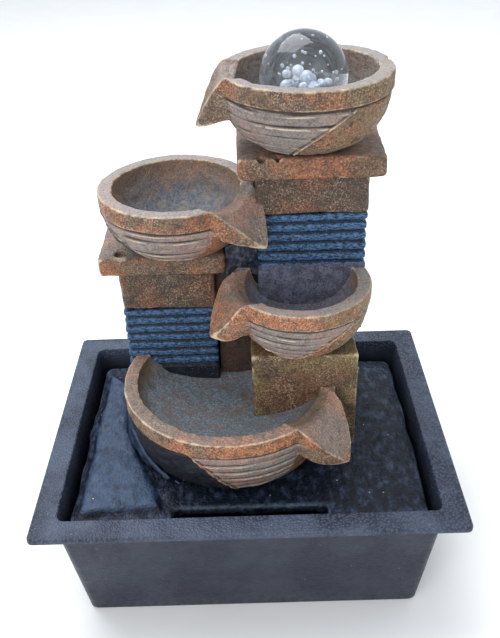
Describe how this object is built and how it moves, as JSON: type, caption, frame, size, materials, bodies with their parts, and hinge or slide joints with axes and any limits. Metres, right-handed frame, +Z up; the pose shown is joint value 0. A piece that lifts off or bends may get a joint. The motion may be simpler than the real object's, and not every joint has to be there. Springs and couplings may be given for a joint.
{
  "type": "tabletop water fountain",
  "caption": "Tabletop water fountain: black tub with rock deck, two stacked block columns, spouted bowls stepping down and a clear glass ball in the top bowl.",
  "frame": {"origin": "on the table, under the middle of the tub", "axes": "+Z up, +X to the object's right seen from the front, -Y to the front where the lowest bowl is"},
  "size_m": [0.21, 0.165, 0.2764],
  "materials": {
    "black_plastic": "satin, leather-grained rim",
    "black_rock": "painted cast resin, satin, rock texture",
    "blue_resin": "painted cast resin, dry-brushed ribs",
    "bowl_resin": "painted cast resin, carved lines, grey dry-brushed rim",
    "brown_resin": "painted cast resin, stippled, pale dry-brushed edges",
    "crystal": "polished clear glass with bubbles",
    "dark_resin": "painted cast resin, dark brown wash",
    "hose_vinyl": "translucent vinyl",
    "lens_plastic": "frosted clear plastic",
    "pump_plastic": "moulded, fine grain",
    "rotor_magnet": "bonded ferrite magnet",
    "rubber_black": "matte",
    "seat_plastic": "clear moulded plastic",
    "shaft_ceramic": "polished ceramic",
    "sponge": "open foam",
    "vane_plastic": "moulded"
  },
  "bodies": {
    "tub": {"basin": "black_plastic", "pump_motor_housing": "pump_plastic", "pump_chamber": "pump_plastic", "impeller_shaft": "shaft_ceramic", "shaft_bushes": "rubber_black", "suction_cups": "rubber_black", "pump_cable_gland": "rubber_black"},
    "tower": {"rock_deck": "black_rock", "front_rock_foot": "black_rock", "rock_filler": "black_rock", "lower_right_block": "brown_resin", "brown_block_right": "brown_resin", "brown_block_left": "brown_resin", "slab_right": "brown_resin", "slab_left": "brown_resin", "blue_block_right": "blue_resin", "blue_block_left": "blue_resin", "recessed_back_wall": "dark_resin", "bowl_top": "bowl_resin", "bowl_left": "bowl_resin", "bowl_middle": "bowl_resin", "bowl_front": "bowl_resin", "light_housing": "pump_plastic", "light_lens": "lens_plastic", "jet_nozzle": "vane_plastic", "riser_tube": "hose_vinyl"},
    "seat": {"ball_seat": "seat_plastic"},
    "ball": {"crystal_ball": "crystal"},
    "rear_cover": {"rear_access_cover": "pump_plastic"},
    "impeller": {"pump_impeller": "rotor_magnet"},
    "intake": {"intake_cover": "pump_plastic", "intake_sponge": "sponge"},
    "regulator": {"flow_regulator": "vane_plastic"}
  },
  "joints": [
    {"name": "tower_lift", "type": "slide", "parent": "tub", "child": "tower", "axis": [0, 0, 1], "range_m": [0, 0.095]},
    {"name": "ball_lift", "type": "slide", "parent": "tower", "child": "seat", "axis": [0, 0, 1], "range_m": [0, 0.045]},
    {"name": "ball_spin", "type": "hinge", "parent": "seat", "child": "ball", "pos_m": [0.031, 0.022, 0.2564], "axis": [0, 0, 1], "continuous": true},
    {"name": "rear_cover_pull", "type": "slide", "parent": "tower", "child": "rear_cover", "axis": [0, 1, 0], "range_m": [0, 0.025]},
    {"name": "impeller_spin", "type": "hinge", "parent": "tub", "child": "impeller", "pos_m": [0.031, 0.022, 0.024], "axis": [0, 1, 0], "continuous": true},
    {"name": "intake_cover_pull", "type": "slide", "parent": "tub", "child": "intake", "axis": [0, -1, 0], "range_m": [0, 0.02]},
    {"name": "regulator_slide", "type": "slide", "parent": "intake", "child": "regulator", "axis": [1, 0, 0], "range_m": [0, 0.016]}
  ]
}
